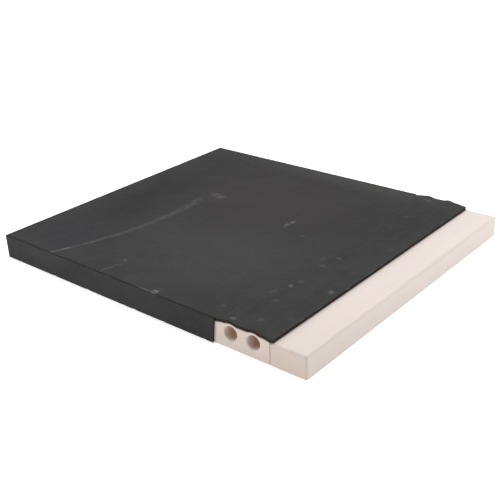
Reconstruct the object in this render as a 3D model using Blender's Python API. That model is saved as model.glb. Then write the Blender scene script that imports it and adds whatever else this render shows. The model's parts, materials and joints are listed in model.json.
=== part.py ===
"""Leatherworking slab: a pale timber board faced with a thin black stone sheet and stone edge bands.

Frame: origin at the middle of the footprint on the rest face, +X along the length towards the bare end
bar, +Y from front to back, +Z up. Metres.
"""

import math

import bmesh
import bpy

# ---- driving dimensions, metres ----

SLAB_LENGTH = 0.310  # outer face of the left band to outer face of the end bar
CORE_DEPTH = 0.268  # front to back of every timber piece and of the top sheet
SLAB_HEIGHT = 0.020  # rest face to the flat work surface

JOINT_GAP = 0.0003  # glue line between neighbouring pieces
SHEET_THICKNESS = 0.0023
BAND_THICKNESS = 0.0010
STONE_ARRIS = 0.0002  # eased edge of the stone pieces

END_BAR_WIDTH = 0.02945
SHEET_LAP_ON_BAR = 0.0027  # how far the sheet runs past the seam between rail and bar
SHEET_CORNER_FRONT = 0.0008  # plan radius of the sheet's right-hand corners
SHEET_CORNER_BACK = 0.0024

BAND_LAP_ON_RAIL_TOP = 0.0029  # the bands' ends are cut on a slant
BAND_LAP_ON_RAIL_BOTTOM = 0.0007

BORE_DIAMETER = 0.011
BORE_COUNT = 2
BORE_WALL_LEFT = 0.01035  # timber from the rail's left face to the first bore
BORE_WALL_BETWEEN = 0.0087
BORE_WALL_RIGHT = 0.0082
BORE_ROOF = 0.0019  # timber over each bore, under the crest of its ridge
BORE_LIP = 0.0007  # rounding of each bore's mouth

STRIP_RISE = 0.00095  # raised strip on the rail's top
STRIP_RAMP = 0.0065  # length of the slope at each side of the raised strip
RIDGE_RISE = 0.00105  # extra rise over each bore
RIDGE_OVERHANG = 0.0010  # ridge's foot beyond the bore on each side

BAR_ROUNDING = 0.0020  # outer edges of the end bar
BAR_ROUNDING_BACK = 0.0008  # the edges round its back end are crisper
TIMBER_ARRIS = 0.0005  # eased edges of the other timber

DOWEL_DIAMETER = 0.006
DOWEL_INSET_IN_RAIL = 0.0060
DOWEL_INSET_IN_NEIGHBOUR = 0.0120
DOWEL_END_MARGIN = 0.040  # outer dowels to the ends of the joint
DOWEL_CHAMFER = 0.0006

RIDGE_STEPS = 12  # straight pieces that make one ridge
RAMP_STEPS = 6  # straight pieces that make one ramp
ROUNDING_STEPS = 5  # of each rounded edge of the end bar
CORNER_TURNS = (22.5, 45, 67.5, 90)  # degrees, points round the sheet's corner
LIP_TURNS = (0, 30, 60, 90)  # degrees, points round a bore's mouth
ROUND_SEGMENTS = 40
SHARP_ANGLE = math.radians(40)  # edges sharper than this are eased
CUTTER_EXCESS = 0.002  # how far a cutter runs past the face it opens

# ---- places worked out from them ----

RIGHT = SLAB_LENGTH / 2
LEFT = -SLAB_LENGTH / 2
BACK = CORE_DEPTH / 2
FRONT = -CORE_DEPTH / 2

SHEET_BOTTOM = SLAB_HEIGHT - SHEET_THICKNESS
CORE_TOP = SHEET_BOTTOM - JOINT_GAP
CORE_LEFT = LEFT + BAND_THICKNESS + JOINT_GAP

BAR_LEFT = RIGHT - END_BAR_WIDTH
RAIL_RIGHT = BAR_LEFT - JOINT_GAP
BORE_PITCH = BORE_DIAMETER + BORE_WALL_BETWEEN
LAST_BORE = RAIL_RIGHT - BORE_WALL_RIGHT - BORE_DIAMETER / 2
BORE_PLACES = [LAST_BORE - BORE_PITCH * i for i in reversed(range(BORE_COUNT))]
BORE_HEIGHT = CORE_TOP + STRIP_RISE + RIDGE_RISE - BORE_ROOF - BORE_DIAMETER / 2  # axis above the rest face
RAIL_LEFT = BORE_PLACES[0] - BORE_DIAMETER / 2 - BORE_WALL_LEFT
BOARD_RIGHT = RAIL_LEFT - JOINT_GAP

SHEET_RIGHT = BAR_LEFT + SHEET_LAP_ON_BAR
STRIP_LEFT = RAIL_LEFT + BAND_LAP_ON_RAIL_TOP
RIDGE_HALF = BORE_DIAMETER / 2 + RIDGE_OVERHANG
DOWEL_HEIGHT = CORE_TOP / 2
DOWEL_PLACES = {"front": FRONT + DOWEL_END_MARGIN, "middle": 0.0, "back": BACK - DOWEL_END_MARGIN}

COLOURS = {  # base colour, roughness
    "black_stone": ((0.060, 0.060, 0.061), 0.62),
    "pale_timber": ((0.76, 0.68, 0.62), 0.58),
    "dowel_timber": ((0.66, 0.50, 0.34), 0.60),
}


def clear_scene():
    for item in list(bpy.data.objects):
        bpy.data.objects.remove(item, do_unlink=True)


def material(name, finish):
    colour, roughness = COLOURS[finish]
    result = bpy.data.materials.new(name + "_" + finish)
    result.use_nodes = True
    shader = result.node_tree.nodes["Principled BSDF"]
    shader.inputs["Base Color"].default_value = (*colour, 1.0)
    shader.inputs["Roughness"].default_value = roughness
    shader.inputs["Metallic"].default_value = 0.0
    return result


def add_object(name, mesh, finish):
    """One named sub-part with a material of its own."""
    item = bpy.data.objects.new(name, mesh)
    bpy.context.collection.objects.link(item)
    if finish:
        mesh.materials.append(material(name, finish))
    return item


def loft(name, sections):
    """Closed mesh through a run of loops with equal point counts, with a face on the first and last loop."""
    mesh = bmesh.new()
    rings = [[mesh.verts.new(point) for point in section] for section in sections]
    count = len(rings[0])
    for ring, following in zip(rings, rings[1:]):
        for i in range(count):
            j = (i + 1) % count
            mesh.faces.new((ring[i], ring[j], following[j], following[i]))
    mesh.faces.new(rings[0])
    mesh.faces.new(list(reversed(rings[-1])))
    bmesh.ops.recalc_face_normals(mesh, faces=mesh.faces)
    data = bpy.data.meshes.new(name)
    mesh.to_mesh(data)
    mesh.free()
    return data


def block(name, low, high):
    """A box between two corners."""
    corners = [(low[1], low[2]), (high[1], low[2]), (high[1], high[2]), (low[1], high[2])]
    return loft(name, [[(x, y, z) for y, z in corners] for x in (low[0], high[0])])


def ease_edges(item, width, segments):
    """Bevel every sharp edge."""
    bevel = item.modifiers.new("eased_edges", "BEVEL")
    bevel.width = width
    bevel.segments = segments
    bevel.limit_method = "ANGLE"
    bevel.angle_limit = SHARP_ANGLE


def cut(item, cutter):
    """Subtract a hidden cutter from a piece."""
    cutter.hide_render = True
    cutter.display_type = "WIRE"
    boolean = item.modifiers.new("cut_" + cutter.name, "BOOLEAN")
    boolean.operation = "DIFFERENCE"
    boolean.solver = "EXACT"
    boolean.object = cutter


def turned(name, profile, place, along, finish=None):
    """A solid of revolution: (distance along, radius) pairs, turned about a line through place."""
    rings = []
    for distance, radius in profile:
        ring = []
        for i in range(ROUND_SEGMENTS):
            turn = math.tau * i / ROUND_SEGMENTS
            side, up = radius * math.cos(turn), radius * math.sin(turn)
            ring.append((distance, side, up) if along == "X" else (side, distance, up))
        rings.append(ring)
    mesh = loft(name, rings)
    for face in mesh.polygons:
        face.use_smooth = True
    mesh.set_sharp_from_angle(angle=SHARP_ANGLE)
    item = add_object(name, mesh, finish)
    item.location = place
    return item


def smooth_step(t):
    t = min(max(t, 0.0), 1.0)
    return t * t * (3 - 2 * t)


def rise(x):
    """Height of the rail's top above the other timber: a raised strip, and a rounded ridge over each bore."""
    ramp_up = smooth_step((x - STRIP_LEFT) / STRIP_RAMP)
    ramp_down = smooth_step((RAIL_RIGHT - x) / STRIP_RAMP)
    height = STRIP_RISE * min(ramp_up, ramp_down)
    for centre in BORE_PLACES:
        reach = abs(x - centre) / RIDGE_HALF
        if reach < 1:
            height += RIDGE_RISE * (0.5 + 0.5 * math.cos(math.pi * reach))
    return height


def strip_stations():
    """Places along X where the raised strip needs a point: both ramps and both ridges."""
    places = []
    for start in (STRIP_LEFT, RAIL_RIGHT - STRIP_RAMP):
        places += [start + STRIP_RAMP * i / RAMP_STEPS for i in range(RAMP_STEPS + 1)]
    for centre in BORE_PLACES:
        places += [centre + RIDGE_HALF * (2 * i / RIDGE_STEPS - 1) for i in range(RIDGE_STEPS + 1)]
    least = STRIP_RAMP / RAMP_STEPS / 3  # points closer than this are left out
    kept = [STRIP_LEFT]
    for place in sorted(places):
        if place - kept[-1] > least and RAIL_RIGHT - place > least:
            kept.append(place)
    return kept + [RAIL_RIGHT]


# ---- stone ----


def corner_setback(x, radius):
    """How far a rounded right-hand corner of the sheet draws the edge back at x."""
    into = x - (SHEET_RIGHT - radius)
    return radius - math.sqrt(max(radius * radius - into * into, 0.0)) if into > 0 else 0.0


def stone_top_sheet():
    """Sheet of even thickness that lies on the timber and follows the raised strip."""
    corner = [SHEET_RIGHT - SHEET_CORNER_BACK * (1 - math.sin(math.radians(turn))) for turn in CORNER_TURNS]
    sections = []
    for x in sorted([CORE_LEFT] + strip_stations() + corner):
        front = FRONT + corner_setback(x, SHEET_CORNER_FRONT)
        back = BACK - corner_setback(x, SHEET_CORNER_BACK)
        low, high = SHEET_BOTTOM + rise(x), SLAB_HEIGHT + rise(x)
        sections.append([(x, front, low), (x, back, low), (x, back, high), (x, front, high)])
    item = add_object("stone_top_sheet", loft("stone_top_sheet", sections), "black_stone")
    ease_edges(item, STONE_ARRIS, 1)


def long_band(name, inner):
    """Front or back band: full height, from the left corner to a slanting cut just past the rail's edge."""
    outer = inner + math.copysign(BAND_THICKNESS, inner)
    outline = [
        (LEFT, 0.0),
        (RAIL_LEFT + BAND_LAP_ON_RAIL_BOTTOM, 0.0),
        (RAIL_LEFT + BAND_LAP_ON_RAIL_TOP, SLAB_HEIGHT),
        (LEFT, SLAB_HEIGHT),
    ]
    mesh = loft(name, [[(x, y, z) for x, z in outline] for y in (inner, outer)])
    item = add_object(name, mesh, "black_stone")
    ease_edges(item, STONE_ARRIS, 1)


def stone_left_band():
    """Short band between the long ones."""
    name = "stone_left_band"
    mesh = block(name, (LEFT, FRONT, 0.0), (LEFT + BAND_THICKNESS, BACK, SLAB_HEIGHT))
    item = add_object(name, mesh, "black_stone")
    ease_edges(item, STONE_ARRIS, 1)


# ---- timber ----


def dowel_hole(item, name, face, y, inset, direction):
    """Blind hole for a dowel, opened through a face at x = face and running inset deep along direction."""
    radius = DOWEL_DIAMETER / 2 + JOINT_GAP
    deep = inset + JOINT_GAP
    ends = sorted((face - direction * CUTTER_EXCESS, face + direction * deep))
    cutter = turned(name + "_hole", [(end, radius) for end in ends], (0.0, y, DOWEL_HEIGHT), "X")
    cut(item, cutter)


def core_board():
    mesh = block("core_board", (CORE_LEFT, FRONT, 0.0), (BOARD_RIGHT, BACK, CORE_TOP))
    item = add_object("core_board", mesh, "pale_timber")
    ease_edges(item, TIMBER_ARRIS, 2)
    for label, y in DOWEL_PLACES.items():
        dowel_hole(item, "board_" + label, BOARD_RIGHT, y, DOWEL_INSET_IN_NEIGHBOUR, -1)


def bored_rail():
    """Rail with the raised strip on top and two bores that run from front to back."""
    top = [(x, CORE_TOP + rise(x)) for x in reversed(strip_stations())]
    outline = [(RAIL_LEFT, 0.0), (RAIL_RIGHT, 0.0)] + top + [(RAIL_LEFT, CORE_TOP)]
    sections = [[(x, y, z) for x, z in outline] for y in (FRONT, BACK)]
    item = add_object("bored_rail", loft("bored_rail", sections), "pale_timber")
    ease_edges(item, TIMBER_ARRIS, 2)
    for number, x in enumerate(BORE_PLACES, start=1):
        cut(item, bore_cutter("bore_%d" % number, x))
    for label, y in DOWEL_PLACES.items():
        dowel_hole(item, "rail_left_" + label, RAIL_LEFT, y, DOWEL_INSET_IN_RAIL, 1)
        dowel_hole(item, "rail_right_" + label, RAIL_RIGHT, y, DOWEL_INSET_IN_RAIL, -1)


def bore_cutter(name, x):
    """Straight bore whose mouths flare by a quarter circle."""
    radius = BORE_DIAMETER / 2
    flare = []
    for turn in map(math.radians, LIP_TURNS):
        flare.append((BORE_LIP * (1 - math.sin(turn)), radius + BORE_LIP * (1 - math.cos(turn))))
    widest = radius + BORE_LIP
    front = [(FRONT - CUTTER_EXCESS, widest)] + [(FRONT + into, wide) for into, wide in reversed(flare)]
    back = [(BACK - into, wide) for into, wide in flare] + [(BACK + CUTTER_EXCESS, widest)]
    return turned(name, front + back, (x, 0.0, BORE_HEIGHT), "Y")


def end_bar():
    """Bar with rounded outer edges, crisper ones round its back end, and eased edges elsewhere."""
    mesh = block("end_bar", (BAR_LEFT, FRONT, 0.0), (RIGHT, BACK, CORE_TOP))
    item = add_object("end_bar", mesh, "pale_timber")
    weights = mesh.attributes.new("bevel_weight_edge", "FLOAT", "EDGE")
    for edge in mesh.edges:
        ends = [mesh.vertices[i].co for i in edge.vertices]
        on_seam = all(abs(end.x - BAR_LEFT) < JOINT_GAP for end in ends)
        on_rest_face = all(abs(end.z) < JOINT_GAP for end in ends)
        at_back = all(abs(end.y - BACK) < JOINT_GAP for end in ends)
        if on_seam or on_rest_face:
            weights.data[edge.index].value = TIMBER_ARRIS / BAR_ROUNDING
        else:
            weights.data[edge.index].value = BAR_ROUNDING_BACK / BAR_ROUNDING if at_back else 1.0
    bevel = item.modifiers.new("rounded_edges", "BEVEL")
    bevel.width = BAR_ROUNDING
    bevel.segments = ROUNDING_STEPS
    bevel.limit_method = "WEIGHT"
    for label, y in DOWEL_PLACES.items():
        dowel_hole(item, "bar_" + label, BAR_LEFT, y, DOWEL_INSET_IN_NEIGHBOUR, 1)


def dowel(name, low, high, y):
    """Short round dowel with chamfered ends, from low to high along X."""
    radius = DOWEL_DIAMETER / 2
    profile = [
        (low, radius - DOWEL_CHAMFER),
        (low + DOWEL_CHAMFER, radius),
        (high - DOWEL_CHAMFER, radius),
        (high, radius - DOWEL_CHAMFER),
    ]
    turned(name, profile, (0.0, y, DOWEL_HEIGHT), "X", "dowel_timber")


def dowels():
    """Three across each of the rail's two joints."""
    for label, y in DOWEL_PLACES.items():
        in_board, in_rail = BOARD_RIGHT - DOWEL_INSET_IN_NEIGHBOUR, RAIL_LEFT + DOWEL_INSET_IN_RAIL
        dowel("rail_dowel_" + label, in_board, in_rail, y)
        in_rail, in_bar = RAIL_RIGHT - DOWEL_INSET_IN_RAIL, BAR_LEFT + DOWEL_INSET_IN_NEIGHBOUR
        dowel("bar_dowel_" + label, in_rail, in_bar, y)


clear_scene()
stone_top_sheet()
long_band("stone_front_band", FRONT - JOINT_GAP)
long_band("stone_back_band", BACK + JOINT_GAP)
stone_left_band()
core_board()
bored_rail()
end_bar()
dowels()
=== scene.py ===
import json
import math
from functools import partial

import bpy
import numpy as np
from mathutils import Matrix, Vector


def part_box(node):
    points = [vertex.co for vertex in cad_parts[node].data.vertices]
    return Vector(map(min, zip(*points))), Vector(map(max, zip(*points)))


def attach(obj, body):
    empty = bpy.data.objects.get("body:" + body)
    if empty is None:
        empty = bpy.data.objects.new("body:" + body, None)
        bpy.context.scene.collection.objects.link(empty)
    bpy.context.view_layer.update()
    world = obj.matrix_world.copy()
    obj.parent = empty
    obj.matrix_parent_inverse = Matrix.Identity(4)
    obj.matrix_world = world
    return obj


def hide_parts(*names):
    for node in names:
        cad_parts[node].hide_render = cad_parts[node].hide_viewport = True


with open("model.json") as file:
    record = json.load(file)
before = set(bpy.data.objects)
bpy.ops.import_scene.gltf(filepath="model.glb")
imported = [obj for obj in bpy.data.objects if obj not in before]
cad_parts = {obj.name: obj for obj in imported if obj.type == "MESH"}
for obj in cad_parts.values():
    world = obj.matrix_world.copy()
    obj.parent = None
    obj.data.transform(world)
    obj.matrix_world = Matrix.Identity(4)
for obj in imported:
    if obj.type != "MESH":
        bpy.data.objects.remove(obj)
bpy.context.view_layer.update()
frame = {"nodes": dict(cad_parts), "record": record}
perMetre = 1000  # shapes and patterns are worked out in millimetres


def corners(node):
    # lowest and highest corner of a frame node, in millimetres
    low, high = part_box(node)
    return np.array(low) * perMetre, np.array(high) * perMetre


sheetLow, sheetHigh = corners("stone_top_sheet")
boardLow, boardHigh = corners("core_board")
railLow, railHigh = corners("bored_rail")
barLow, barHigh = corners("end_bar")
openings = frame["record"]["physics"]["openings"]
bores = [np.array(opening["box_m"]).mean(axis=0) * perMetre for opening in openings]
print("frame loaded,", len(frame["nodes"]), "nodes,", len(bores), "bores")


# Shapes worked out on grids

guardLine = 1.5  # in radii from an edge: a grid line just past its rounding
sawnBelow = 0.6  # a face whose outward direction has less than this across the facing is a sawn edge


def smoothStep(t):
    # 3t^2 - 2t^3, held at 0 and 1 beyond its ends
    t = np.clip(t, 0, 1)
    return t * t * (3 - 2 * t)


def softNoise(u, v, cell, seed):
    # random heights from -1 to 1 at the corners of square cells, blended across each cell by smoothStep
    size = 97
    heights = np.random.default_rng(seed).uniform(-1, 1, (size, size))
    column, row = np.floor(u / cell).astype(int), np.floor(v / cell).astype(int)
    across, along = smoothStep(u / cell - column), smoothStep(v / cell - row)
    left, right, front, back = column % size, (column + 1) % size, row % size, (row + 1) % size
    near = heights[left, front] * (1 - across) + heights[right, front] * across
    far = heights[left, back] * (1 - across) + heights[right, back] * across
    return near * (1 - along) + far * along


# In radii from an edge: 1 - tan a, which a rounded edge turns into equal steps of a, then the guard line,
# which keeps the rounding's shading off the flat face
edgeSteps = np.append(1 - np.tan(np.radians([45, 33.75, 22.5, 11.25, 0])), guardLine)


def edgeStations(low, high, nearRadius, farRadius, inner):
    # grid lines along one side: the edge steps from each end, then the inner lines that lie clear of them
    clear = 0.02
    near = low + nearRadius * edgeSteps
    far = high - farRadius * edgeSteps
    inner = np.asarray(inner, float)
    inner = inner[(inner > near.max() + clear) & (inner < far.min() - clear)]
    return np.unique(np.concatenate([near, inner, far]))


def blockShell(xs, ys, zs, openEnds=False):
    # the outside of a lattice of points, six grids that share their edge points, faces outward;
    # openEnds leaves off the two faces across Y
    i, j, k = np.indices((len(xs), len(ys), len(zs))).reshape(3, -1)
    outer = (i == 0) | (i == len(xs) - 1) | (k == 0) | (k == len(zs) - 1)
    if not openEnds:
        outer |= (j == 0) | (j == len(ys) - 1)
    index = np.full(len(i), -1)
    index[outer] = np.arange(outer.sum())
    index = index.reshape(len(xs), len(ys), len(zs))
    points = np.stack([xs[i], ys[j], zs[k]], axis=1)[outer]
    grids = [index[:, :, -1], index[:, :, 0].T, index[-1], index[0].T]
    if not openEnds:
        grids += [index[:, 0], index[:, -1].T]
    return points, np.concatenate([gridFaces(grid) for grid in grids])


def gridFaces(index):
    # the quads of a grid of point numbers, turned from its first axis to its second
    quads = np.stack([index[:-1, :-1], index[1:, :-1], index[1:, 1:], index[:-1, 1:]], axis=-1)
    return quads.reshape(-1, 4)


def roundEdges(points, low, high, nearRadius, farRadius):
    # each point goes onto the ellipsoid of its side's radii about the nearest point of the shrunken block,
    # c + r e / max(|e|, 1) with e = (p - c) / r, so the block's edges and corners come out round
    low, high = np.array(low, float), np.array(high, float)
    nearRadius, farRadius = np.array(nearRadius, float), np.array(farRadius, float)
    core = np.clip(points, low + nearRadius, high - farRadius)
    radius = np.where(points < core, nearRadius, farRadius)
    reach = (points - core) / radius
    length = np.maximum(np.linalg.norm(reach, axis=1, keepdims=True), 1)
    return core + radius * reach / length


def bites(place, chips):
    # chips along an edge, each depth (1 - (distance / half length)^2), where the deepest one counts
    depth = np.zeros_like(place)
    for centre, half, deepest in chips:
        depth = np.maximum(depth, deepest * np.clip(1 - ((place - centre) / half) ** 2, 0, 1))
    return depth


def randomChips(low, high, count, longest, deepest, seed):
    # places drawn evenly along an edge, most of them far smaller than the longest and deepest
    rng = np.random.default_rng(seed)
    sizes = rng.uniform(0.25, 1, count) ** 2
    return [(rng.uniform(low, high), 0.5 * longest * size, deepest * size) for size in sizes]


def outwardness(points, faces):
    # unit normal of each quad, from its two diagonals
    a, b, c, d = (points[faces[:, n]] for n in range(4))
    normal = np.cross(c - a, d - b)
    return normal / np.maximum(np.linalg.norm(normal, axis=1, keepdims=True), 1e-12)


def makePiece(name, points, faces, node, finishes, finishOf=None, marks=None):
    # puts a surface into a mesh that stands for a frame node, with its finishes and its per-point marks
    mesh = bpy.data.meshes.new(name)
    mesh.from_pydata(points / perMetre, [], faces.tolist())
    for finish in finishes:
        mesh.materials.append(finish)
    if finishOf is not None:
        mesh.polygons.foreach_set("material_index", finishOf.astype(np.int32))
    for label, values in (marks or {}).items():
        layer = mesh.attributes.new(label, "FLOAT", "POINT")
        layer.data.foreach_set("value", values.astype(np.float32))
    mesh.shade_smooth()
    mesh.update()
    piece = bpy.data.objects.new(name, mesh)
    bpy.context.collection.objects.link(piece)
    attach(piece, "root")
    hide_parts(node)
    print(name, "made,", len(faces), "faces")
    return piece


# The raised strip and its ridges, which the rail's top and the sheet share

strip = {
    "start": 2.9,  # mm, from the rail's left face
    "ramp": 6.5,
    "rise": 0.95,
    "ridgeRise": 1.05,
    "ridgeHalfWidth": 6.5,
}


def rise(x):
    # a strip with a smoothStep ramp at each side, plus a raised cosine over each bore
    rampUp = smoothStep((x - railLow[0] - strip["start"]) / strip["ramp"])
    rampDown = smoothStep((railHigh[0] - x) / strip["ramp"])
    height = strip["rise"] * np.minimum(rampUp, rampDown)
    for bore in bores:
        reach = np.clip(np.abs(x - bore[0]) / strip["ridgeHalfWidth"], 0, 1)
        height = height + strip["ridgeRise"] * (0.5 + 0.5 * np.cos(np.pi * reach))
    return height


# Finishes


def linear(hexColour):
    # sRGB hex colour to linear red, green and blue
    values = [int(hexColour[n:n + 2], 16) / 255 for n in (1, 3, 5)]
    return tuple(v / 12.92 if v <= 0.04045 else ((v + 0.055) / 1.055) ** 2.4 for v in values)


def addNode(tree, kind, sockets=None, give=0, **settings):
    # One node with its settings. A socket, by name or number, takes a number, an sRGB hex colour or another
    # node's output. What comes back is the output that give names.
    node = tree.nodes.new("ShaderNode" + kind)
    for name, value in settings.items():
        setattr(node, name, value)
    for socket, value in (sockets or {}).items():
        if isinstance(value, bpy.types.NodeSocket):
            tree.links.new(value, node.inputs[socket])
        elif isinstance(value, str):
            node.inputs[socket].default_value = (*linear(value), 1)
        else:
            node.inputs[socket].default_value = value
    return node.outputs[give] if node.outputs else None


def newFinish(name):
    # an empty material, its way of adding nodes, and its Object coordinates in millimetres
    material = bpy.data.materials.new(name)
    material.use_nodes = True
    material.node_tree.nodes.clear()
    add = partial(addNode, material.node_tree)
    place = add("VectorMath", {0: add("TexCoord", give="Object"), "Scale": perMetre}, operation="SCALE")
    return material, add, place


stone = {
    "face": "#393939",
    "lightCloud": "#3e3e3e",
    "darkCloud": "#353535",
    "warmCloud": "#3c393a",
    "coolCloud": "#333438",
    "palePatchAndSheen": "#5c5c5c",
    "deepPatch": "#202020",
    "vein": "#a3a3a3",
    "dark": "#2a2a2a",
    "sheetEdge": ("#3a2e29", "#272120"),  # with the brown of its backing
    "bandEdge": ("#2b2a29", "#1d1d1c"),
    "bruise": "#8c8c8c",
    # painted shade: the bands' side faces take the stone's colour times this
    "bandPaintedShade": 0.86,
    "roughness": 0.68,
    "ior": 1.45,
    "shine": 0.16,  # the dust in its pores takes away part of the gloss of solid stone
    "cloudSize": 38.0,  # mm
    "mottleSize": 5.0,
    "grainSize": 0.55,
    "graininess": 0.16,
    "grainDepth": 0.035,
    "rubSize": 22.0,
    "wanders": ((16.0, 3.0), (2.6, 1.2)),  # size of the noise and how far it shifts a vein
    "veinSpread": 1.6,  # a vein fades out at this many half widths
    "breakSize": 7.0,
    "tintShare": 0.75,
    "sawRoughness": 0.85,
    "sawShine": 0.12,
    "sawLine": 0.35,
    "sawDepth": 0.05,
}

# Pale veins on the sheet's face. Each is a parabola x = crest + bend (y - crestAt)^2, in mm, with the width
# and strength at its front and back ends.
veins = [
    {"crest": -71.4, "crestAt": -22.0, "bend": -0.00200, "ends": (-134, -84), "halfWidth": (0.8, 1.3),
     "strength": (0.36, 0.10)},
    {"crest": -71.4, "crestAt": -22.0, "bend": -0.00200, "ends": (-96, 24), "halfWidth": (2.2, 4.4),
     "strength": (0.095, 0.08)},
    {"crest": -38.5, "crestAt": -134.0, "bend": 0.0100, "ends": (-130, -112), "halfWidth": (1.4, 2.0),
     "strength": (0.08, 0.06)},
]

# Dusty pale spots (positive) and dark ones (negative): x, y, half sizes in x and y, strength
spots = [
    (-70, 32.5, 7.5, 6.5, 0.18), (-62.5, 31, 7.0, 6.0, 0.20), (-37, -109.5, 3.2, 2.8, 0.16),
    (24.5, 15.5, 2.8, 5.0, 0.20), (25.5, 22.5, 3.0, 5.4, 0.24), (50, 5, 8.0, 3.0, 0.06),
    (19.5, 36.0, 2.0, 4.0, -0.5), (100, -9.5, 2.8, 3.6, -1.0), (97, -13.4, 2.4, 2.6, 0.14),
    (94.0, -31.5, 2.8, 3.4, 0.16), (88, -22, 2.4, 4.0, 0.08), (96.5, -60, 2.2, 3.4, 0.20),
    (94.5, -70.5, 2.6, 3.4, 0.22), (89, -84.5, 3.0, 4.6, 0.13), (98.5, -92.5, 3.2, 3.4, 0.13),
    (91.5, -130.0, 3.4, 2.6, 0.30), (97, 83.5, 3.0, 4.0, 0.10), (122, -60, 3.2, 4.2, 0.18),
    (122.5, -106, 4.6, 2.6, 0.12), (121, 22.5, 2.6, 6.0, 0.06), (73, -118.5, 4.0, 3.0, 0.08),
    (106.5, -120, 3.6, 3.6, 0.10), (95, 125, 9.0, 3.0, 0.10), (19.5, -131.0, 4.2, 2.0, 0.60),
]

# Wide patches where the face is a little lighter or darker, the back one a painted sheen: x, y, half sizes,
# change of tone
tonePatchesAndSheen = [
    (-118, 0, 52, 130, -0.40), (10, -55, 120, 90, 0.14), (60, -118, 80, 26, -0.06), (0, 132, 170, 26, 0.30),
    (88, 60, 60, 60, -0.08), (-82, 70, 34, 16, 0.10),
]
tints = {"warmCloud": (-20, 50, 130, 110), "coolCloud": (-112, -100, 66, 60)}  # x, y, half sizes


def spotShare(add, place, spot):
    # 1 at the middle of an ellipse, falling smoothly to 0 at its rim
    x, y, across, along = spot[:4]
    offset = add("VectorMath", {0: place, 1: (-x, -y, 0)}, operation="ADD")
    offset = add("VectorMath", {0: offset, 1: (1 / across, 1 / along, 0)}, operation="MULTIPLY")
    distance = add("VectorMath", {0: offset}, give="Value", operation="LENGTH")
    return add("MapRange", {0: distance, 1: 0, 2: 1, 3: 1, 4: 0}, interpolation_type="SMOOTHSTEP")


def stoneBase(add, place):
    # the cloudy black shared by every honed face: wide clouds of two tones under a smaller, lighter mottle
    size = stone["cloudSize"]
    clouds = add("TexNoise", {"Vector": place, "Scale": 1 / size, "Detail": 4, "Roughness": 0.55})
    share = add("MapRange", {0: clouds, 1: 0.35, 2: 0.65}, interpolation_type="SMOOTHSTEP")
    colour = add("Mix", {0: share, 6: stone["darkCloud"], 7: stone["face"]}, give=2, data_type="RGBA")
    size = stone["mottleSize"]
    mottle = add("TexNoise", {"Vector": place, "Scale": 1 / size, "Detail": 3, "Roughness": 0.6})
    share = add("MapRange", {0: mottle, 1: 0.45, 2: 0.75, 4: 0.6}, interpolation_type="SMOOTHSTEP")
    return add("Mix", {0: share, 6: colour, 7: stone["lightCloud"]}, give=2, data_type="RGBA")


def honedStone(add, place, colour, shade):
    # ends a honed stone: bruised points go pale, each mineral grain is a little lighter or darker than the
    # next and stands a little proud, slow rubbing marks vary the gloss, and shade scales the colour: painted
    # shade on the bands
    bruise = add("Attribute", give="Fac", attribute_name="bruise")
    colour = add("Mix", {0: bruise, 6: colour, 7: stone["bruise"]}, give=2, data_type="RGBA")
    grain = add("TexNoise", {"Vector": place, "Scale": 1 / stone["grainSize"], "Detail": 2, "Roughness": 0.7})
    low, high = shade * (1 - stone["graininess"]), shade * (1 + stone["graininess"])
    level = add("MapRange", {0: grain, 1: 0.25, 2: 0.75, 3: low, 4: high}, interpolation_type="SMOOTHSTEP")
    colour = add("VectorMath", {0: colour, "Scale": level}, operation="SCALE")
    rub = add("TexNoise", {"Vector": place, "Scale": 1 / stone["rubSize"], "Detail": 3})
    gloss = {0: rub, 1: 0.3, 2: 0.7, 3: stone["roughness"] - 0.05, 4: stone["roughness"] + 0.06}
    gloss = add("MapRange", gloss, interpolation_type="SMOOTHSTEP")
    relief = add("Bump", {"Strength": 0.5, "Distance": stone["grainDepth"] / perMetre, "Height": grain})
    shader = add("BsdfPrincipled", {"Base Color": colour, "Roughness": gloss, "Normal": relief,
                                    "IOR": stone["ior"], "Specular IOR Level": stone["shine"]})
    add("OutputMaterial", {"Surface": shader})


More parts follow.
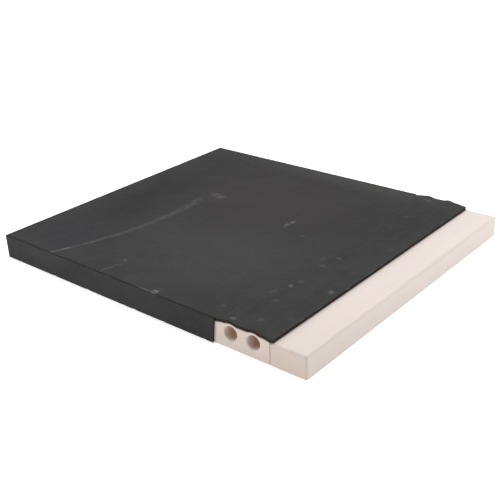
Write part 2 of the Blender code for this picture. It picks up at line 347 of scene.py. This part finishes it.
def honedTopStone():
    # Black limestone veneer, honed: matt and slightly dusty, with one long pale vein, small pale spots and
    # clouds that hardly show, and a painted sheen along its back edge.
    material, add, place = newFinish("honedBlackStoneTop")
    colour = stoneBase(add, place)
    tone = 0.0
    # the pale patch at the back edge is painted sheen; the other patches are the stone's tone
    for patch in tonePatchesAndSheen:
        tone = add("Math", {0: spotShare(add, place, patch), 1: patch[4], 2: tone}, operation="MULTIPLY_ADD")
    for sign, patchColour in ((1.0, stone["palePatchAndSheen"]), (-1.0, stone["deepPatch"])):
        share = add("Math", {0: tone, 1: sign}, operation="MULTIPLY", use_clamp=True)
        colour = add("Mix", {0: share, 6: colour, 7: patchColour}, give=2, data_type="RGBA")
    for tint, area in tints.items():
        share = add("Math", {0: spotShare(add, place, area), 1: stone["tintShare"]}, operation="MULTIPLY")
        colour = add("Mix", {0: share, 6: colour, 7: stone[tint]}, give=2, data_type="RGBA")

    # the veins and spots wander: their place is shifted by two sizes of noise
    wandered = place
    for size, shift in stone["wanders"]:
        wander = add("TexNoise", {"Vector": wandered, "Scale": 1 / size, "Detail": 2}, give="Color")
        wander = add("VectorMath", {0: wander, 1: (0.5, 0.5, 0.5)}, operation="SUBTRACT")
        wander = add("VectorMath", {0: wander, "Scale": shift}, operation="SCALE")
        wandered = add("VectorMath", {0: wandered, 1: wander}, operation="ADD")
    x = add("SeparateXYZ", {0: wandered}, give="X")
    y = add("SeparateXYZ", {0: wandered}, give="Y")
    pale, dark = 0.0, 0.0
    for vein in veins:
        front, back = vein["ends"]
        along = add("Math", {0: y, 1: vein["crestAt"]}, operation="SUBTRACT")
        square = add("Math", {0: along, 1: along}, operation="MULTIPLY")
        middle = add("Math", {0: square, 1: vein["bend"], 2: vein["crest"]}, operation="MULTIPLY_ADD")
        aside = add("Math", {0: add("Math", {0: x, 1: middle}, operation="SUBTRACT")}, operation="ABSOLUTE")
        thin, wide = (stone["veinSpread"] * half for half in vein["halfWidth"])
        first, last = vein["strength"]
        width = add("MapRange", {0: y, 1: front, 2: back, 3: thin, 4: wide})
        share = add("MapRange", {0: aside, 1: 0, 2: width, 3: 1, 4: 0}, interpolation_type="SMOOTHSTEP")
        # its strength from end to end, times how it sets in before its front end and fades at its back end
        for limits in ({1: front, 2: back, 3: first, 4: last}, {1: front - 8, 2: front},
                       {1: back - 10, 2: back + 4, 3: 1, 4: 0}):
            fade = add("MapRange", {0: y, **limits}, interpolation_type="SMOOTHSTEP")
            share = add("Math", {0: share, 1: fade}, operation="MULTIPLY")
        pale = add("Math", {0: pale, 1: share}, operation="MAXIMUM")
    for spot in spots:
        share = add("Math", {0: spotShare(add, wandered, spot), 1: abs(spot[4])}, operation="MULTIPLY")
        if spot[4] > 0:
            pale = add("Math", {0: pale, 1: share}, operation="MAXIMUM")
        else:
            dark = add("Math", {0: dark, 1: share}, operation="MAXIMUM")
    size = stone["breakSize"]
    breaks = add("TexNoise", {"Vector": wandered, "Scale": 1 / size, "Detail": 3, "Roughness": 0.65})
    breaks = add("MapRange", {0: breaks, 1: 0.36, 2: 0.62, 3: 0.30, 4: 1.25}, interpolation_type="SMOOTHSTEP")
    pale = add("Math", {0: pale, 1: breaks}, operation="MULTIPLY")
    colour = add("Mix", {0: pale, 6: colour, 7: stone["vein"]}, give=2, data_type="RGBA")
    colour = add("Mix", {0: dark, 6: colour, 7: stone["dark"]}, give=2, data_type="RGBA")
    honedStone(add, place, colour, 1.0)
    return material


def honedBandStone():
    # The same honed black stone in the narrow bands, without the top's veins and spots, darker all over as
    # painted shade
    material, add, place = newFinish("honedBlackStoneBand")
    honedStone(add, place, stoneBase(add, place), stone["bandPaintedShade"])
    return material


def sawnStone(name, colours):
    # Sawn edges of the veneer: darker than the honed faces, with fine saw lines
    material, add, place = newFinish(name)
    flattened = add("VectorMath", {0: place, 1: (0.08, 0.08, 1.0)}, operation="MULTIPLY")
    lines = add("TexNoise", {"Vector": flattened, "Scale": 1 / stone["sawLine"], "Detail": 2})
    share = add("MapRange", {0: lines, 1: 0.35, 2: 0.65}, interpolation_type="SMOOTHSTEP")
    colour = add("Mix", {0: share, 6: colours[0], 7: colours[1]}, give=2, data_type="RGBA")
    bruise = add("Attribute", give="Fac", attribute_name="bruise")
    bruise = add("Math", {0: bruise, 1: 0.5}, operation="MULTIPLY")
    colour = add("Mix", {0: bruise, 6: colour, 7: stone["bruise"]}, give=2, data_type="RGBA")
    relief = add("Bump", {"Strength": 0.6, "Distance": stone["sawDepth"] / perMetre, "Height": lines})
    shader = add("BsdfPrincipled", {"Base Color": colour, "Roughness": stone["sawRoughness"],
                                    "Normal": relief, "IOR": stone["ior"],
                                    "Specular IOR Level": stone["sawShine"]})
    add("OutputMaterial", {"Surface": shader})
    return material


timber = {
    "light": "#e1d8d4",
    "late": "#d4c8c1",
    "pink": "#dfd4d1",
    "straw": "#dfd5cc",
    "pore": "#c5b4a7",
    # painted bounce light: the warm tan that the bore walls turn with depth
    "bore": "#f6dcc0",
    "boreDeepBounceLight": "#f0c496",
    "endGrain": (0.985, 0.935, 0.905),  # what end grain keeps of red, green and blue
    "roughness": 0.74,
    "ior": 1.45,
    "shine": 0.25,  # an open sanded face scatters most of what a closed coat would reflect
    "ringSpacing": 3.2,  # mm
    "ringContrast": 0.11,
    "ringWander": 9.0,
    "wanderSize": 30.0,
    "cloudSize": 55.0,
    "fibreSize": 0.5,
    "fibreDepth": 0.03,
    "poreSize": 0.35,
    "paintedShadeReach": 90.0,  # over which the painted shade at a front end gives way to the rest
}


def paleTimber(name, pith, hue, frontPaintedShade=1.0):
    # Basswood, fine sanded and left open: nearly plain cream and quite matt, with soft rings about the pith
    # line (x, z), fine fibres along Y and a few short pores. Its end grain, across Y, is a little darker and
    # pinker. The bore walls turn a warmer tan with depth as painted bounce light, and frontPaintedShade is
    # what the front end keeps of the lightness of the rest, as painted shade.
    material, add, place = newFinish(name)
    stretched = add("VectorMath", {0: place, 1: (1.0, 0.15, 1.0)}, operation="MULTIPLY")
    wander = add("TexNoise", {"Vector": stretched, "Scale": 1 / timber["wanderSize"], "Detail": 2})
    outward = add("VectorMath", {0: place, 1: (pith[0], 0, pith[1])}, operation="SUBTRACT")
    outward = add("VectorMath", {0: outward, 1: (1, 0, 1)}, operation="MULTIPLY")
    distance = add("VectorMath", {0: outward}, give="Value", operation="LENGTH")
    distance = add("Math", {0: wander, 1: timber["ringWander"], 2: distance}, operation="MULTIPLY_ADD")
    distance = add("Math", {0: distance, 1: 1 / timber["ringSpacing"]}, operation="MULTIPLY")
    ring = add("Math", {0: distance}, operation="FRACT")
    late = add("MapRange", {0: ring, 1: 0.35, 2: 0.95}, interpolation_type="SMOOTHSTEP")
    ringEnd = add("MapRange", {0: ring, 1: 0.95, 2: 1.0, 3: timber["ringContrast"], 4: 0})
    late = add("Math", {0: late, 1: ringEnd}, operation="MULTIPLY")
    slender = add("VectorMath", {0: place, 1: (1.0, 0.03, 1.0)}, operation="MULTIPLY")
    size = timber["fibreSize"]
    fibre = add("TexNoise", {"Vector": slender, "Scale": 1 / size, "Detail": 4, "Roughness": 0.6})
    halved = add("VectorMath", {0: place, 1: (1.0, 0.5, 1.0)}, operation="MULTIPLY")
    cloud = add("TexNoise", {"Vector": halved, "Scale": 1 / timber["cloudSize"], "Detail": 2})
    cloud = add("MapRange", {0: cloud, 1: 0.35, 2: 0.65}, interpolation_type="SMOOTHSTEP")
    pores = add("TexNoise", {"Vector": slender, "Scale": 1 / timber["poreSize"], "Detail": 1})
    fibres = add("MapRange", {0: fibre, 1: 0.52, 2: 0.80, 4: 0.35}, interpolation_type="SMOOTHSTEP")
    pores = add("MapRange", {0: pores, 1: 0.72, 2: 0.80, 4: 0.5}, interpolation_type="SMOOTHSTEP")
    colour = add("Mix", {0: cloud, 6: timber["pink"], 7: timber["straw"]}, give=2, data_type="RGBA")
    for share, over in ((hue, "light"), (late, "late"), (fibres, "late"), (pores, "pore")):
        colour = add("Mix", {0: share, 6: colour, 7: timber[over]}, give=2, data_type="RGBA")
    facing = add("SeparateXYZ", {0: add("NewGeometry", give="Normal")}, give="Y")
    endGrain = add("Math", {0: add("Math", {0: facing}, operation="ABSOLUTE"), 1: 2.0}, operation="POWER")
    kept = add("Mix", {0: endGrain, 4: (1, 1, 1), 5: timber["endGrain"]}, give=1, data_type="VECTOR")
    colour = add("VectorMath", {0: colour, 1: kept}, operation="MULTIPLY")
    # painted shade: the colour darkens towards the front end, down to frontPaintedShade
    y, front = add("SeparateXYZ", {0: place}, give="Y"), boardLow[1]
    tone = add("MapRange", {0: y, 1: front, 2: front + timber["paintedShadeReach"], 3: frontPaintedShade})
    colour = add("VectorMath", {0: colour, "Scale": tone}, operation="SCALE")
    # painted bounce light: deeper in the bores the colour turns to a warm tan
    boreBounceLight = add("MapRange", {0: fibre, 1: 0.35, 2: 0.7}, interpolation_type="SMOOTHSTEP")
    boreBounceLight = add("Mix", {0: boreBounceLight, 6: timber["bore"], 7: timber["boreDeepBounceLight"]}, give=2, data_type="RGBA")
    inBore = add("Attribute", give="Fac", attribute_name="inBore")
    colour = add("Mix", {0: inBore, 6: colour, 7: boreBounceLight}, give=2, data_type="RGBA")
    gloss = {0: fibre, 1: 0.3, 2: 0.7, 3: timber["roughness"] - 0.05, 4: timber["roughness"] + 0.07}
    gloss = add("MapRange", gloss, interpolation_type="SMOOTHSTEP")
    relief = add("Bump", {"Strength": 0.5, "Distance": timber["fibreDepth"] / perMetre, "Height": fibre})
    shader = add("BsdfPrincipled", {"Base Color": colour, "Roughness": gloss, "Normal": relief,
                                    "IOR": timber["ior"], "Specular IOR Level": timber["shine"]})
    add("OutputMaterial", {"Surface": shader})
    return material


dowel = {
    "light": "#d9bb92",
    "dark": "#c29c6f",
    "fleck": "#94683f",
    "roughness": 0.7,
    "fibreSize": 0.4,  # mm
    "fibreDepth": 0.04,
    "fleckSize": 0.5,
}


def dowelTimber():
    # Raw beech dowel: tan, with short dark flecks along X
    material, add, place = newFinish("rawBeechDowel")
    slender = add("VectorMath", {0: place, 1: (0.05, 1.0, 1.0)}, operation="MULTIPLY")
    short = add("VectorMath", {0: place, 1: (0.3, 1.0, 1.0)}, operation="MULTIPLY")
    fibre = add("TexNoise", {"Vector": slender, "Scale": 1 / dowel["fibreSize"], "Detail": 3})
    flecks = add("TexNoise", {"Vector": short, "Scale": 1 / dowel["fleckSize"], "Detail": 1})
    share = add("MapRange", {0: fibre, 1: 0.35, 2: 0.7}, interpolation_type="SMOOTHSTEP")
    colour = add("Mix", {0: share, 6: dowel["light"], 7: dowel["dark"]}, give=2, data_type="RGBA")
    share = add("MapRange", {0: flecks, 1: 0.66, 2: 0.74, 4: 0.7}, interpolation_type="SMOOTHSTEP")
    colour = add("Mix", {0: share, 6: colour, 7: dowel["fleck"]}, give=2, data_type="RGBA")
    relief = add("Bump", {"Strength": 0.5, "Distance": dowel["fibreDepth"] / perMetre, "Height": fibre})
    shader = add("BsdfPrincipled", {"Base Color": colour, "Roughness": dowel["roughness"], "Normal": relief,
                                    "IOR": timber["ior"]})
    add("OutputMaterial", {"Surface": shader})
    return material


topStone, bandStone = honedTopStone(), honedBandStone()
sheetEdge = sawnStone("sawnStoneSheetEdge", stone["sheetEdge"])
bandEdge = sawnStone("sawnStoneBandEdge", stone["bandEdge"])
print("stone finishes made")


# Stone top sheet

sheet = {
    "flatTop": barHigh[2] + 0.3 + 2.3,  # where it lies flat: a glue line and the stone above the timber
    "arris": 0.3,
    "underArris": 0.12,
    "cornerFront": 0.8,  # plan radius of the right-hand corners
    "cornerBack": 2.4,
    "cornerReach": 14.0,  # the grid gives way over this length to a rounded corner
    "chipReach": 1.3,
    "chipDrop": 0.6,  # how far a chip goes down, as a share of how far it goes in
    "bruiseDepth": 0.45,  # a chip's paleness is its depth over this, up to bruiseMost
    "bruiseMost": 0.8,
    "wave": 0.04,  # depth of the face's slow unevenness
    "waveSizes": (34, 9),
    "columns": 170,  # grid lines before the rail
    "railGrid": 0.55,  # their spacing over the rail
    "rows": 96,
    "rowsFrom": 5.0,
    "layers": 5,
}
# Chips along each arris: middle, half length and depth of the two that stand out, then random ones
sheetChips = {
    "front": [(10.5, 8.0, 0.28), (18.5, 3.0, 0.50)] + randomChips(-150, 76, 10, 3.0, 0.14, seed=3),
    "back": randomChips(-150, 124, 22, 4.0, 0.35, seed=5),
    "right": randomChips(-130, 130, 18, 3.5, 0.22, seed=6),
    "left": randomChips(-130, 130, 14, 3.5, 0.30, seed=7),
}


def cornerSetback(inward, radius):
    # how far a rounded corner draws an edge back, r - sqrt(r^2 - (r - d)^2), at d from the other edge
    into = np.clip(radius - inward, 0, radius)
    return radius - np.sqrt(radius ** 2 - into ** 2)


def stoneTopSheet():
    # a rounded block of even thickness, drawn in at its two right-hand corners, bitten by small chips along
    # its arrises, then lifted by the height of the raised strip under it
    low, high = sheetLow.copy(), sheetHigh.copy()
    high[2] = sheet["flatTop"]
    arcs = 1 - np.cos(np.radians([15, 30, 45, 60, 75, 90]))
    nearEdge = np.concatenate([sheet["cornerBack"] * arcs, [0.8, 1.5]])  # closer lines for corners and chips
    beforeRail = np.linspace(low[0], railLow[0], sheet["columns"])
    overRail = np.arange(railLow[0], high[0], sheet["railGrid"])
    middle = np.linspace(low[1] + sheet["rowsFrom"], high[1] - sheet["rowsFrom"], sheet["rows"])
    alongX = np.concatenate([beforeRail, overRail, low[0] + nearEdge])
    alongY = np.concatenate([low[1] + nearEdge, middle, high[1] - nearEdge])
    near = [sheet["arris"], sheet["arris"], sheet["underArris"]]
    far = [sheet["arris"]] * 3
    axes = [alongX, alongY, np.linspace(low[2], high[2], sheet["layers"])]
    stations = [edgeStations(low[n], high[n], near[n], far[n], axes[n]) for n in range(3)]
    points, faces = blockShell(*stations)
    points = roundEdges(points, low, high, near, far)
    x, y, z = points.T.copy()

    setback = cornerSetback(y - low[1], sheet["cornerFront"])
    setback += cornerSetback(high[1] - y, sheet["cornerBack"])
    x -= setback * smoothStep((x - high[0] + sheet["cornerReach"]) / sheet["cornerReach"])
    upper = (z - low[2]) / (high[2] - low[2])
    nearTop = np.clip(1 - (high[2] - z) / sheet["chipReach"], 0, 1)
    bruise = np.zeros_like(x)
    for side, place, inward in (("front", x, y - low[1]), ("back", x, high[1] - y),
                                ("right", y, high[0] - x), ("left", y, x - low[0])):
        bite = bites(place, sheetChips[side]) * np.clip(1 - inward / sheet["chipReach"], 0, 1) * nearTop
        bruise = np.maximum(bruise, bite / sheet["bruiseDepth"])
        z -= sheet["chipDrop"] * bite
        if side in ("front", "back"):
            y += bite if side == "front" else -bite
        else:
            x += bite if side == "left" else -bite
    wide, narrow = sheet["waveSizes"]
    wave = softNoise(x, y, wide, seed=11) + 0.4 * softNoise(x, y, narrow, seed=12)
    z -= sheet["wave"] * upper * (1.4 + wave) / 2
    z += rise(x)
    points = np.stack([x, y, z], axis=1)
    sawn = np.abs(outwardness(points, faces)[:, 2]) < sawnBelow
    marks = {"bruise": np.clip(bruise, 0, sheet["bruiseMost"])}
    finishes = [topStone, sheetEdge]
    return makePiece("stoneTopSheet", points, faces, "stone_top_sheet", finishes, sawn, marks)


stoneTopSheet()

# Stone bands

band = {
    "arris": 0.18,
    "slant": 2.2,  # how much further the long bands reach at the top of their slanting cut
    "slantReach": 20.0,
    "chips": (16, 4.0, 0.30),  # count, longest and deepest along each arris
    "chipReach": 0.9,
    "chipDrop": 0.5,
    "bruiseDepth": 1.5,
    "bruiseMost": 0.35,
    "wave": 0.05,
    "waveSize": 26,
    "grid": 1.25,
    "rows": 18,
}


def stoneBand(node, name, outSide, seed):
    # a thin rounded strip on edge; the long ones end in a slanting cut; outSide is the axis and the direction
    # in which its honed face looks
    low, high = corners(node)
    axis, direction = outSide
    length = 1 - axis  # the strip runs along the other level axis
    near, far = np.full(3, band["arris"]), np.full(3, band["arris"])
    inner = [None, None, np.linspace(low[2], high[2], band["rows"])]
    inner[length] = np.arange(low[length], high[length], band["grid"])
    inner[axis] = [(low[axis] + high[axis]) / 2]
    stations = [edgeStations(low[n], high[n], near[n], far[n], inner[n]) for n in range(3)]
    points, faces = blockShell(*stations)
    points = roundEdges(points, low, high, near, far)
    if length == 0:
        fromEnd = smoothStep((points[:, 0] - high[0] + band["slantReach"]) / band["slantReach"])
        points[:, 0] -= band["slant"] * fromEnd * (1 - (points[:, 2] - low[2]) / (high[2] - low[2]))
    place = points[:, length]
    inward = high[axis] - points[:, axis] if direction > 0 else points[:, axis] - low[axis]
    onFace = 1 - inward / (high[axis] - low[axis])
    bruise = np.zeros(len(points))
    for edge, drop in ((high[2] - points[:, 2], -1), (points[:, 2] - low[2], 1)):
        chips = randomChips(low[length], high[length], *band["chips"], seed=seed + drop)
        bite = bites(place, chips) * np.clip(1 - edge / band["chipReach"], 0, 1) * onFace
        points[:, 2] += drop * band["chipDrop"] * bite
        points[:, axis] -= direction * bite
        bruise = np.maximum(bruise, bite / band["bruiseDepth"])
    wave = softNoise(place, points[:, 2], band["waveSize"], seed) + 1
    points[:, axis] -= direction * band["wave"] * onFace * wave / 2
    sawn = np.abs(outwardness(points, faces)[:, axis]) < sawnBelow
    marks = {"bruise": np.clip(bruise, 0, band["bruiseMost"])}
    return makePiece(name, points, faces, node, [bandStone, bandEdge], sawn, marks)


stoneBand("stone_front_band", "stoneFrontBand", (1, -1), seed=20)
stoneBand("stone_back_band", "stoneBackBand", (1, 1), seed=30)
stoneBand("stone_left_band", "stoneLeftBand", (0, -1), seed=40)

# Timber

dowelHole = {
    "radius": 3.3,
    "sides": 48,
    "past": 2.0,  # how far the cutter stands out of the face
    "deeper": 0.3,  # than the dowel reaches
}


def drill(piece, mouths):
    # cuts the blind dowel holes, each from (x, y, z) on a face to an inset along X, with a round cutter each
    for mouth, inset in mouths:
        turns = np.linspace(0, 2 * np.pi, dowelHole["sides"], endpoint=False)
        start = mouth[0] - math.copysign(dowelHole["past"], inset)
        low, high = sorted((start, mouth[0] + inset))
        ring = dowelHole["radius"] * np.stack([np.cos(turns), np.sin(turns)], axis=1) + mouth[1:]
        points = np.concatenate([np.insert(ring, 0, end, axis=1) for end in (low, high)])
        count = len(turns)
        following = (np.arange(count) + 1) % count
        walls = np.stack([np.arange(count), following, following + count, np.arange(count) + count], axis=1)
        mesh = bpy.data.meshes.new("dowelHole")
        ends = [list(range(count))[::-1], list(range(count, 2 * count))]
        mesh.from_pydata(points / perMetre, [], walls.tolist() + ends)
        cutter = bpy.data.objects.new("dowelHole", mesh)
        bpy.context.collection.objects.link(cutter)
        cut = piece.modifiers.new("dowelHole", "BOOLEAN")
        cut.operation, cut.solver, cut.object = "DIFFERENCE", "EXACT", cutter
        bpy.context.view_layer.update()
        evaluated = piece.evaluated_get(bpy.context.evaluated_depsgraph_get())
        drilled = bpy.data.meshes.new_from_object(evaluated)
        piece.modifiers.clear()
        piece.data = drilled
        bpy.data.objects.remove(cutter)


def dowelMouths(x, side):
    # a hole for each dowel that crosses the face at x, a little deeper than the dowel reaches past it
    mouths = []
    for node in frame["nodes"]:
        low, high = corners(node)
        if "dowel" in node and low[0] < x < high[0]:
            inset = (high[0] if side > 0 else low[0]) - x + side * dowelHole["deeper"]
            mouths.append(((x, *((low + high) / 2)[1:]), inset))
    return mouths


rail = {
    "arris": 0.5,
    "boreRadius": 5.5,
    "lip": 1.0,
    "flatTop": boardHigh[2],
    "faceRings": 7,  # rings of faces between the outline's easing and a bore's mouth
    "grid": 0.75,
    "rows": 70,
    "wallRings": 30,
    "wallFrom": 4.0,
    "bounceLightDepth": (0.5, 11.0),  # depth where the painted bounce light on the bore wall sets in, and the length over which it does
}


def stretchToStrip(points):
    # raises a block's top to the raised strip, in proportion to height
    points = points.copy()
    points[:, 2] *= 1 + rise(points[:, 0]) / rail["flatTop"]
    return points


def boredRail():
    # The outer skin is an open-ended rounded block. Each bore is one profile carried round: from half of the
    # front face's outline in to the bore's mouth, over its rounded lip, along the wall, and out again behind.
    # The lip is a quarter circle, and a ring between two others lies at an even share of the way.
    low, high = railLow.copy(), railHigh.copy()
    high[2] = rail["flatTop"]
    near = far = np.full(3, rail["arris"])
    spans = [np.arange(low[0], high[0], rail["grid"]), np.linspace(low[1], high[1], rail["rows"]),
             np.arange(low[2], high[2], rail["grid"])]
    xs, ys, zs = (edgeStations(low[n], high[n], near[n], far[n], spans[n]) for n in range(3))
    skin, skinFaces = blockShell(xs, ys, zs, openEnds=True)
    blocks, quads, inside = [skin], [skinFaces], [np.zeros(len(skin))]
    middle = int(np.argmin(np.abs(xs - (bores[0][0] + bores[1][0]) / 2)))

    radius, lip, arris = rail["boreRadius"], rail["lip"], rail["arris"]
    steps = arris * edgeSteps
    for bore, (first, last) in zip(bores, ((0, middle), (middle, len(xs) - 1))):
        side = xs[first:last + 1]
        still, level = np.ones(len(zs) - 2), np.ones(len(side))
        outlineX = np.concatenate([side, side[-1] * still, side[::-1], side[0] * still])
        outlineZ = np.concatenate([zs[0] * level, zs[1:-1], zs[-1] * level, zs[-2:0:-1]])
        flat = np.zeros(len(outlineX))
        outline = stretchToStrip(np.stack([outlineX, flat, outlineZ], axis=1))[:, [0, 2]]
        centre = bore[[0, 2]]
        away = outline - centre
        reach = np.linalg.norm(away, axis=1, keepdims=True)
        away = away / reach
        room = reach - (radius + lip)
        insets = [step + 0 * room for step in steps]
        shares = np.arange(1, rail["faceRings"] + 1) / rail["faceRings"]
        insets += [steps[-1] + (room - steps[-1]) * share for share in shares]
        profile = [(outline - away * inset, 0.0) for inset in insets]
        for turn in np.radians([18, 36, 54, 72, 90]):
            ring = centre + away * (radius + lip * (1 - math.sin(turn)))
            profile.append((ring, lip * (1 - math.cos(turn))))
        wall = np.linspace(low[1] + rail["wallFrom"], high[1] - rail["wallFrom"], rail["wallRings"])
        loops = [(ring, low[1] + depth) for ring, depth in profile]
        loops += [(profile[-1][0], y) for y in wall]
        loops += [(ring, high[1] - depth) for ring, depth in reversed(profile)]
        count = len(outlineX)
        points = [np.stack([ring[:, 0], np.full(count, y), ring[:, 1]], axis=1) for ring, y in loops]
        points = np.concatenate(points)
        points[:, 2] /= 1 + rise(points[:, 0]) / rail["flatTop"]
        index = np.arange(len(loops) * count).reshape(len(loops), count)
        index = np.hstack([index, index[:, :1]])
        quads.append(gridFaces(index.T) + sum(len(b) for b in blocks))
        blocks.append(points)
        # the share of painted bounce light on the bore wall, rising with depth from the mouth
        depth = np.minimum(points[:, 1] - low[1], high[1] - points[:, 1])
        inside.append(smoothStep((depth - rail["bounceLightDepth"][0]) / rail["bounceLightDepth"][1]))
    points = stretchToStrip(roundEdges(np.concatenate(blocks), low, high, near, far))

    # points that two grids share become one
    rounded = np.round(points, 4)
    first, renumber = np.unique(rounded, axis=0, return_index=True, return_inverse=True)[1:]
    faces = renumber.reshape(-1)[np.concatenate(quads)]
    marks = {"inBore": np.concatenate(inside)[first]}
    finish = paleTimber("basswoodRail", pith=(104, -46), hue=0.15)
    piece = makePiece("boredRail", points[first], faces, "bored_rail", [finish], marks=marks)
    drill(piece, dowelMouths(low[0], 1) + dowelMouths(high[0], -1))
    return piece


boredRail()

bar = {
    "rounding": 2.0,
    "backRounding": 0.8,
    "backReach": 10.0,  # the rounding tightens over this length towards the back end
    "arris": 0.5,
    "sharp": 0.01,  # an edge that is eased afterwards
    "grid": 1.5,
    "lengthGrid": 3.0,
}


def endBar():
    # A block whose top and outer edges are rounded, tighter round its back end. The edges on the rest face
    # are eased after that: each point within the easing's height moves in towards the rounding's centre line
    # by b - sqrt(b^2 - (b - z)^2).
    low, high = barLow, barHigh
    big, tight, small, sharp = bar["rounding"], bar["backRounding"], bar["arris"], bar["sharp"]
    easing = small * (1 - np.cos(np.radians(np.arange(0, 91, 15))))
    spans = [np.arange(low[0], high[0], bar["grid"]), np.arange(low[1], high[1], bar["lengthGrid"]),
             np.concatenate([low[2] + easing, np.arange(low[2] + 1, high[2], bar["grid"])])]
    nearEnds = ((small, small), (big, big), (sharp, sharp))
    farEnds = ((big, tight), (tight, tight), (big, tight))
    stations = []
    for axis in range(3):
        both = [edgeStations(low[axis], high[axis], near, far, spans[axis])
                for near, far in zip(nearEnds[axis], farEnds[axis])]
        stations.append(np.unique(np.concatenate(both)))
    points, faces = blockShell(*stations)
    fade = smoothStep((high[1] - points[:, 1]) / bar["backReach"])
    outer = tight + (big - tight) * fade
    near = np.tile([small, big, sharp], (len(points), 1))
    far = np.stack([outer, np.full(len(points), tight), outer], axis=1)
    points = roundEdges(points, low, high, near, far)
    core = np.clip(points, low + near, high - far)
    height = np.clip(points[:, 2] - low[2], 0, small)
    inset = small - np.sqrt(np.clip(small ** 2 - (small - height) ** 2, 0, None))
    radius = np.where(points < core, near, far)[:, :2]
    points[:, :2] -= (points - core)[:, :2] * np.minimum(inset[:, None] / radius, 1)
    finish = paleTimber("basswoodEndBar", pith=(132, -70), hue=0.45, frontPaintedShade=0.95)
    piece = makePiece("endBar", points, faces, "end_bar", [finish])
    drill(piece, dowelMouths(low[0], 1))
    return piece


endBar()

# The board and the dowels keep their frame shapes
kept = {"core_board": paleTimber("basswoodBoard", pith=(-20, -95), hue=0.3)}
beech = dowelTimber()
kept.update({nodeName: beech for nodeName in frame["nodes"] if "dowel" in nodeName})
for nodeName, finish in kept.items():
    for materialSlot in frame["nodes"][nodeName].material_slots:
        materialSlot.material = finish
    print(nodeName, "keeps its shape,", len(frame["nodes"][nodeName].material_slots), "slot finished")
print("board and dowels finished")


# Studio

studio = {
    "floorColour": "#e7e7e7",
    "floorGlow": 0.52,
    "floorHalf": 6.0,  # metres
    "floorDrop": 0.0002,
    "skyColour": "#ffffff",
    "skyStrength": 0.02,
    "suns": {  # strength, spread in degrees, lean in degrees towards the right and the back
        "overhead": (2.12, 75, (6, 16)),
        "leftWindow": (1.28, 80, (-40, 0)),
    },
    "softBoxes": {  # place, size in metres, watts
        "front": ((-0.45, -0.60, 0.30), 0.5, 1.66),
        "back": ((0.60, 0.55, 0.35), 0.5, 2.06),
    },
    "lampColour": "#fffdfc",
}
camera = {
    "place": (0.41806, -0.48912, 0.30347),
    "aim": (0.01716, -0.02349, 0.0100),
    "roll": -2.386,  # degrees
    "lens": 60.52,
}


def floor():
    half = studio["floorHalf"]
    mesh = bpy.data.meshes.new("floor")
    level = -studio["floorDrop"]
    corner = [(-half, -half, level), (half, -half, level), (half, half, level), (-half, half, level)]
    mesh.from_pydata(corner, [], [(0, 1, 2, 3)])
    material = bpy.data.materials.new("whitePaperFloor")
    material.use_nodes = True
    shader = material.node_tree.nodes["Principled BSDF"]
    shader.inputs["Base Color"].default_value = (*linear(studio["floorColour"]), 1)
    shader.inputs["Roughness"].default_value = 1.0
    shader.inputs["Specular IOR Level"].default_value = 0.0
    shader.inputs["Emission Color"].default_value = (1, 1, 1, 1)
    shader.inputs["Emission Strength"].default_value = studio["floorGlow"]
    mesh.materials.append(material)
    item = bpy.data.objects.new("floor", mesh)
    bpy.context.collection.objects.link(item)


def lights():
    # the sky is white behind the object and gives hardly any light, which comes from the lamps and the floor
    world = bpy.data.worlds.new("studioSky")
    bpy.context.scene.world = world
    world.use_nodes = True
    world.node_tree.nodes.clear()
    add = partial(addNode, world.node_tree)
    seen = add("LightPath", give="Is Camera Ray")
    strength = add("MapRange", {0: seen, 3: studio["skyStrength"], 4: 1.0})
    add("OutputWorld", {"Surface": add("Background", {"Color": studio["skyColour"], "Strength": strength})})
    for name, (strength, spread, lean) in studio["suns"].items():
        lamp = bpy.data.lights.new(name, "SUN")
        lamp.energy, lamp.angle = strength, math.radians(spread)
        right, back = (math.tan(math.radians(angle)) for angle in lean)
        aimLamp(name, lamp, (right, back, 1), (0, 0, 1))
    for name, (place, size, power) in studio["softBoxes"].items():
        lamp = bpy.data.lights.new(name + "SoftBox", "AREA")
        lamp.energy, lamp.size = power, size
        aimLamp(name + "SoftBox", lamp, place, place)


def aimLamp(name, lamp, direction, place):
    # puts a lamp in the scene, shining from that direction towards the object's middle
    lamp.color = linear(studio["lampColour"])
    item = bpy.data.objects.new(name, lamp)
    item.location = place
    item.rotation_euler = Vector(direction).to_track_quat("Z", "Y").to_euler()
    item.visible_camera = False
    bpy.context.collection.objects.link(item)


def makeCamera():
    data = bpy.data.cameras.new("camera")
    data.lens, data.sensor_width = camera["lens"], 36
    data.clip_start, data.clip_end = 0.01, 50
    item = bpy.data.objects.new("camera", data)
    towards = Vector(camera["aim"]) - Vector(camera["place"])
    level = towards.to_track_quat("-Z", "Y").to_matrix()
    turn = level @ Matrix.Rotation(math.radians(camera["roll"]), 3, "Z")
    item.matrix_world = Matrix.Translation(camera["place"]) @ turn.to_4x4()
    bpy.context.collection.objects.link(item)
    bpy.context.scene.camera = item


floor()
lights()
makeCamera()
bpy.context.scene.view_settings.view_transform = "Standard"
print("studio made")

bpy.context.view_layer.update()
